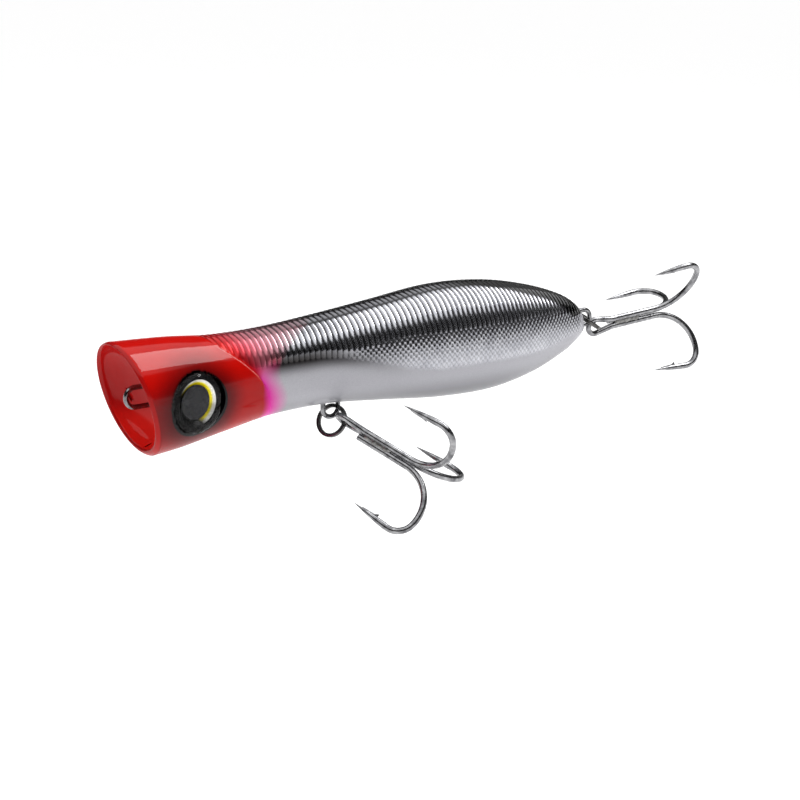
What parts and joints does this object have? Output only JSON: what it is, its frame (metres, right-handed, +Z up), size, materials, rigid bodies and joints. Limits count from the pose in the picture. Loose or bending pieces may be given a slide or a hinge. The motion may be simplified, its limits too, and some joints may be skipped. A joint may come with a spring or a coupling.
{
  "type": "topwater popper lure",
  "caption": "Topwater popper fishing lure with a cupped mouth, domed eyes, ribbed foil flanks, and treble hooks on split rings at the belly and tail.",
  "frame": {"origin": "centre of the line tie's wire loop, in the mouth", "axes": "+X from the mouth to the tail along the body, +Z up to the back, +Y to the lure's right side"},
  "size_m": [0.1548, 0.045, 0.0467],
  "materials": {
    "foil_body": "moulded ABS with silver foil, red head paint, black back and clear gloss coat",
    "stainless_wire": "bright drawn stainless wire",
    "nickel_ring": "black nickel plated spring steel",
    "tinned_hook": "bright tinned high carbon steel",
    "solder": "brazing metal",
    "eye_foil": "printed reflective foil",
    "eye_pupil": "gloss black print",
    "eye_dome": "clear domed resin",
    "ball_steel": "polished bearing steel"
  },
  "bodies": {
    "body": {"left_body_shell": "foil_body", "right_body_shell": "foil_body", "line_tie_wire": "stainless_wire", "belly_hanger_wire": "stainless_wire", "tail_hanger_wire": "stainless_wire", "left_eye_foil": "eye_foil", "right_eye_foil": "eye_foil", "left_eye_pupil": "eye_pupil", "right_eye_pupil": "eye_pupil", "left_eye_dome": "eye_dome", "right_eye_dome": "eye_dome"},
    "belly_ring": {"belly_split_ring": "nickel_ring"},
    "belly_hook": {"belly_double_hook": "tinned_hook", "belly_single_hook": "tinned_hook", "belly_hook_solder": "solder"},
    "tail_ring": {"tail_split_ring": "nickel_ring"},
    "tail_hook": {"tail_double_hook": "tinned_hook", "tail_single_hook": "tinned_hook", "tail_hook_solder": "solder"},
    "casting_weights": {"casting_ball_1": "ball_steel", "casting_ball_2": "ball_steel"},
    "rattle": {"rattle_ball": "ball_steel"}
  },
  "joints": [
    {"name": "belly_ring_swing", "type": "hinge", "parent": "body", "child": "belly_ring", "pos_m": [0.04694, 0, -0.00929], "axis": [0, 1, 0], "range_deg": [-30, 60]},
    {"name": "belly_hook_swing", "type": "hinge", "parent": "belly_ring", "child": "belly_hook", "pos_m": [0.04788, -0.00412, -0.01125], "axis": [0.314, 0.317, 0.895], "range_deg": [-60, 60]},
    {"name": "tail_ring_swing", "type": "hinge", "parent": "body", "child": "tail_ring", "pos_m": [0.11814, 0, 0.00204], "axis": [0, 1, 0], "range_deg": [-40, 40]},
    {"name": "tail_hook_swing", "type": "hinge", "parent": "tail_ring", "child": "tail_hook", "pos_m": [0.12283, 0.00003, -0.00093], "axis": [0.4639, 0.8857, -0.018], "range_deg": [-60, 60]},
    {"name": "casting_weight_slide", "type": "slide", "parent": "body", "child": "casting_weights", "axis": [1, 0, 0], "range_m": [0, 0.0195]},
    {"name": "rattle_slide", "type": "slide", "parent": "body", "child": "rattle", "axis": [0, 1, 0], "range_m": [-0.0028, 0.0028]}
  ]
}
